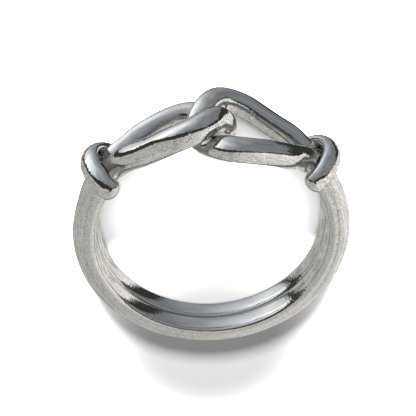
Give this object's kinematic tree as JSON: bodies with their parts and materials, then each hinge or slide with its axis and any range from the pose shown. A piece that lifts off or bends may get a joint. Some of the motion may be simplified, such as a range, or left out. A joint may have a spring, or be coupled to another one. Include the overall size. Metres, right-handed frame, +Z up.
{
  "type": "knot ring",
  "caption": "Silver finger ring whose band of two wires ends in two hooked wire loops, with a wire collar on each side of the knot.",
  "frame": {"origin": "middle of the finger hole, halfway along it", "axes": "+Z is up from the surface that the ring lies on, -Y points from the finger hole towards the knot, and the finger hole's axis leans 4.3 degrees from +Z towards +Y, as the ring rests on both collars and the far side of the band"},
  "size_m": [0.0208, 0.0218, 0.0073],
  "materials": {
    "band_silver": "polished sterling silver with a fine satin grain on its flanks and inside",
    "knot_silver": "mirror polished sterling silver, satin on its flanks"
  },
  "bodies": {
    "root": {"band": "band_silver", "left_loop": "knot_silver", "right_loop": "knot_silver", "left_collar": "knot_silver", "right_collar": "knot_silver"}
  },
  "joints": []
}
